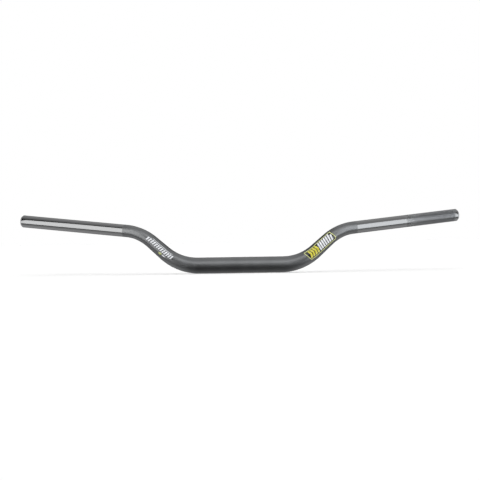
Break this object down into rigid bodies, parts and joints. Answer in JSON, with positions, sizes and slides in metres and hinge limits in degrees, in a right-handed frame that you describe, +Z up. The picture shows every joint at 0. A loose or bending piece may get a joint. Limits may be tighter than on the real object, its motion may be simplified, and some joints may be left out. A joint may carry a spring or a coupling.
{
  "type": "motorcycle handlebar",
  "caption": "Bare off-road motorcycle handlebar: an oversize tapered aluminium tube bent for rise, upsweep and backsweep, with open chamfered ends and film graphics on its uprights.",
  "frame": {"origin": "the middle of the part's box seen from above, at the height of the clamp section's lowest line. The clamp section's axis runs parallel to X through Y = -0.02445 m, Z = +0.0143 m, and the middle of the clamp section is at (0, -0.02445, 0.0143) m.", "axes": "+X along the clamp section towards the clutch side, which is the end with the knurled grip seat; +Y backwards, the way the grips sweep, towards the rider; +Z up, the way the uprights rise"},
  "size_m": [0.8044, 0.0776, 0.1101],
  "materials": {
    "bar_metal": "fine bead-blasted and grey anodised over the clamp section, uprights and bends; smooth and glossy over the outer 199 mm of each side; diamond knurled from 106 mm to 9 mm from the +X end; bright turned end chamfers",
    "black_film": "gloss black graphic film",
    "lime_film": "pale yellow-green printed line",
    "yellow_film": "gloss yellow print",
    "white_film": "gloss white film"
  },
  "bodies": {
    "root": {"bar_tube": "bar_metal", "badge_base_film": "black_film", "badge_keyline": "lime_film", "badge_chevron_1": "yellow_film", "badge_chevron_2": "yellow_film", "badge_chevron_3": "yellow_film", "badge_chevron_4": "yellow_film", "badge_bar_1": "white_film", "badge_bar_2": "white_film", "badge_bar_3": "white_film", "badge_bar_4": "white_film", "badge_bar_5": "white_film", "badge_bar_6": "white_film", "badge_bar_7": "white_film", "graphic_bar_1": "white_film", "graphic_bar_2": "white_film", "graphic_bar_3": "white_film", "graphic_bar_4": "white_film", "graphic_bar_5": "white_film", "graphic_bar_6": "white_film", "graphic_bar_7": "white_film", "graphic_bar_8": "white_film", "graphic_bar_9": "white_film", "graphic_bar_10": "white_film", "graphic_bar_11": "white_film", "graphic_bar_12": "white_film", "graphic_bar_13": "white_film", "graphic_pinstripe": "white_film", "graphic_tag_yellow": "yellow_film", "graphic_tag_white": "white_film"}
  },
  "joints": []
}
